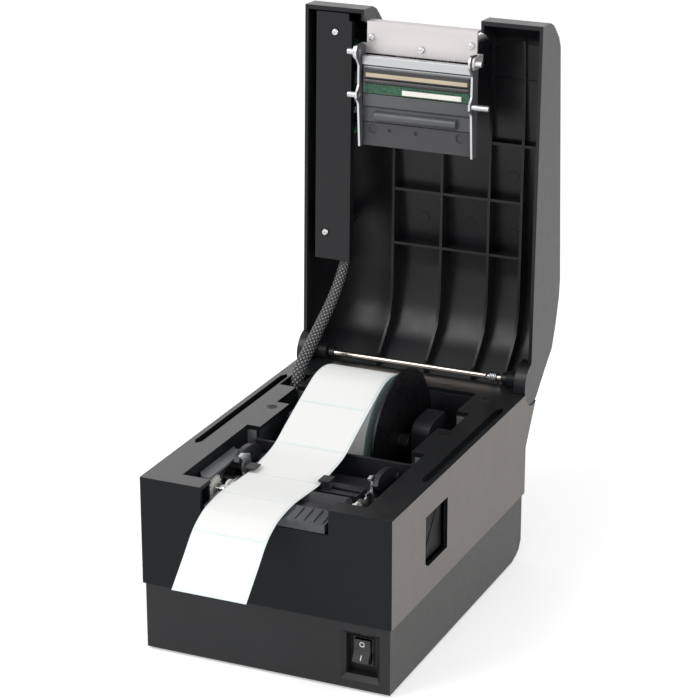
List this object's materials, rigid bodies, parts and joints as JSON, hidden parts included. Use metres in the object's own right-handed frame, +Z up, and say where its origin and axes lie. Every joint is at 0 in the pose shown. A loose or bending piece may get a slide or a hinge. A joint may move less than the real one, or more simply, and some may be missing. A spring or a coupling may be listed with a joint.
{
  "type": "thermal label printer",
  "caption": "Desktop clamshell thermal label printer, open: label roll in a bay, platen, guides, drive gears and latch in the base, print head in the hinged lid.",
  "frame": {"origin": "centre of the box round the open printer, on the table", "axes": "+X right, +Y back, +Z up; the front faces -Y"},
  "size_m": [0.145, 0.2942, 0.3123],
  "materials": {
    "casing_black": "lightly textured moulded plastic with a soft sheen",
    "bay_black": "fine moulded plastic",
    "rubber": "dull rubber",
    "screw_steel": "zinc-plated",
    "board_green": "solder-masked board",
    "chip_black": "moulded epoxy",
    "bright_steel": "ground steel",
    "switch_black": "smooth switch plastic",
    "frame_steel": "zinc-plated sheet",
    "lip_black": "smooth plastic",
    "platen_rubber": "ground rubber",
    "nylon_white": "natural nylon",
    "motor_steel": "plated can",
    "brass": "cut brass",
    "cover_grey": "grey plastic",
    "lever_black": "smooth plastic",
    "core_card": "wound card",
    "label_paper": "smooth coated paper",
    "spring_steel": "spring steel",
    "cable_black": "braided sleeve",
    "lid_black": "moulded plastic",
    "button_grey": "satin plastic",
    "led_clear": "clear light pipe",
    "mount_steel": "plated sheet",
    "head_black": "black coated",
    "heat_alu": "milled aluminium",
    "head_tan": "glazed ceramic with a tan strip",
    "connector_ivory": "ivory nylon"
  },
  "bodies": {
    "base": {"lower_tray": "casing_black", "upper_casing": "casing_black", "roll_bay": "bay_black", "rubber_feet": "rubber", "base_screws": "screw_steel", "main_board": "board_green", "board_parts": "chip_black", "dc_jack": "chip_black", "usb_port": "bright_steel", "power_switch": "switch_black", "mechanism_frame": "frame_steel", "frame_arms": "bay_black", "front_lip": "lip_black", "front_guide": "bay_black", "platen_bearings": "nylon_white", "idler_axle": "bright_steel", "stepper_motor": "motor_steel", "gear_cover": "cover_grey", "guide_rail": "bay_black", "guide_left": "bay_black", "gap_sensor": "chip_black", "roll_holder_left": "bay_black", "label_web": "label_paper", "hinge_rod": "bright_steel", "hinge_collars": "frame_steel", "torsion_spring": "spring_steel", "cable_sleeve": "cable_black"},
    "lid": {"lid_shell": "lid_black", "board_cover": "lid_black", "lid_screws": "screw_steel", "control_board": "board_green", "light_pipes": "led_clear", "head_mount": "mount_steel", "head_springs": "spring_steel"},
    "print_head_unit": {"head_bracket": "head_black", "head_pins": "bright_steel", "heat_sink": "heat_alu", "print_head": "head_tan", "head_bar": "heat_alu", "head_board": "board_green", "head_connector": "connector_ivory", "head_guard": "head_black", "head_cover": "head_black"},
    "feed_button": {"feed_button": "button_grey"},
    "pause_button": {"pause_button": "button_grey"},
    "rocker": {"power_rocker": "switch_black"},
    "platen": {"platen_roller": "platen_rubber", "platen_shaft": "bright_steel", "platen_gear": "nylon_white"},
    "idler": {"idler_gear": "nylon_white"},
    "pinion": {"motor_shaft": "bright_steel", "motor_pinion": "brass"},
    "latch": {"latch_shaft": "bright_steel", "latch_hooks": "frame_steel", "release_levers": "lever_black"},
    "media_guide": {"guide_right": "bay_black"},
    "roll_carriage": {"roll_carriage_right": "bay_black"},
    "roll_flange": {"roll_flange_right": "lever_black"},
    "roll": {"label_core": "core_card", "label_roll": "label_paper"}
  },
  "joints": [
    {"name": "lid_hinge", "type": "hinge", "parent": "base", "child": "lid", "pos_m": [0, 0.104, 0.1043], "axis": [1, 0, 0], "range_deg": [0, 91.5], "deforming": ["cable_sleeve"]},
    {"name": "print_head_float", "type": "hinge", "parent": "lid", "child": "print_head_unit", "pos_m": [0, 0.09587, 0.29028], "axis": [1, 0, 0], "range_deg": [0, 0.8], "stiffness_Nm_per_rad": 1.2, "springref_deg": -14.32},
    {"name": "feed_button_press", "type": "slide", "parent": "lid", "child": "feed_button", "axis": [0, -0.9997, 0.0262], "range_m": [0, 0.001], "stiffness_N_per_m": 300},
    {"name": "pause_button_press", "type": "slide", "parent": "lid", "child": "pause_button", "axis": [0, -0.9997, 0.0262], "range_m": [0, 0.001], "stiffness_N_per_m": 300},
    {"name": "power_rocker_tilt", "type": "hinge", "parent": "base", "child": "rocker", "pos_m": [0.053, -0.0935, 0.0206], "axis": [1, 0, 0], "range_deg": [0, 24]},
    {"name": "platen_spin", "type": "hinge", "parent": "base", "child": "platen", "pos_m": [0, -0.0685, 0.0855], "axis": [1, 0, 0], "continuous": true},
    {"name": "idler_spin", "type": "hinge", "parent": "base", "child": "idler", "pos_m": [-0.048, -0.06018, 0.06847], "axis": [1, 0, 0], "continuous": true},
    {"name": "motor_spin", "type": "hinge", "parent": "base", "child": "pinion", "pos_m": [-0.048, -0.0455, 0.06], "axis": [1, 0, 0], "continuous": true},
    {"name": "latch_swing", "type": "hinge", "parent": "base", "child": "latch", "pos_m": [0, -0.0435, 0.081], "axis": [1, 0, 0], "range_deg": [0, 20]},
    {"name": "media_guide_slide", "type": "slide", "parent": "base", "child": "media_guide", "axis": [1, 0, 0], "range_m": [0, 0.016]},
    {"name": "roll_carriage_slide", "type": "slide", "parent": "base", "child": "roll_carriage", "axis": [1, 0, 0], "range_m": [0, 0.009]},
    {"name": "roll_spin", "type": "hinge", "parent": "base", "child": "roll", "pos_m": [0, 0.0385, 0.082], "axis": [1, 0, 0], "continuous": true},
    {"name": "roll_flange_spin", "type": "hinge", "parent": "roll_carriage", "child": "roll_flange", "pos_m": [0.02, 0.0385, 0.082], "axis": [1, 0, 0], "continuous": true}
  ],
  "couplings": [
    {"joint": "idler_spin", "follows": "platen_spin", "ratio": -0.56667},
    {"joint": "motor_spin", "follows": "platen_spin", "ratio": 1.4167},
    {"joint": "roll_flange_spin", "follows": "roll_spin", "ratio": 1}
  ]
}
